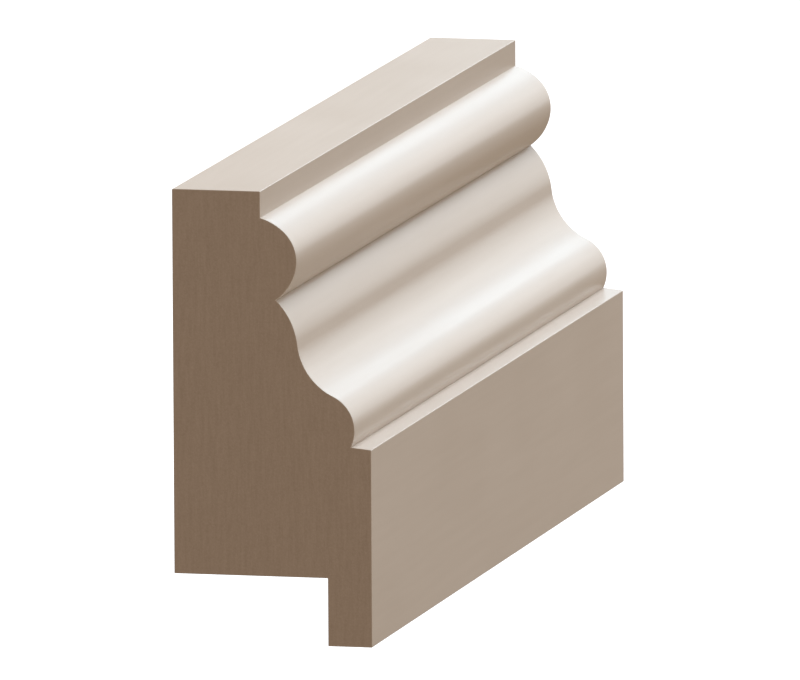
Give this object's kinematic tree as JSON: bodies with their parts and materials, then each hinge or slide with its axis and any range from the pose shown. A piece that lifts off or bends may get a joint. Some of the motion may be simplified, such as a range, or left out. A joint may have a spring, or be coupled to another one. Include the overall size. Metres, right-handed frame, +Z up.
{
  "type": "wainscot cap moulding",
  "caption": "Straight wainscot cap moulding with a bead, an ogee and a nose over a plain fascia, rebated behind to sit over a wall panel's top edge.",
  "frame": {"origin": "middle of the back face, on the wall's surface", "axes": "+X along the length, +Y out of the back face into the wall, +Z up; the moulded face looks to -Y"},
  "size_m": [0.137, 0.0254, 0.0572],
  "materials": {
    "stone_paint": "medium density fibreboard: satin stone paint on the top and the moulded front, raw and plainer on the sawn ends, the back and the rebate"
  },
  "bodies": {
    "root": {"wainscot_cap": "stone_paint"}
  },
  "joints": []
}
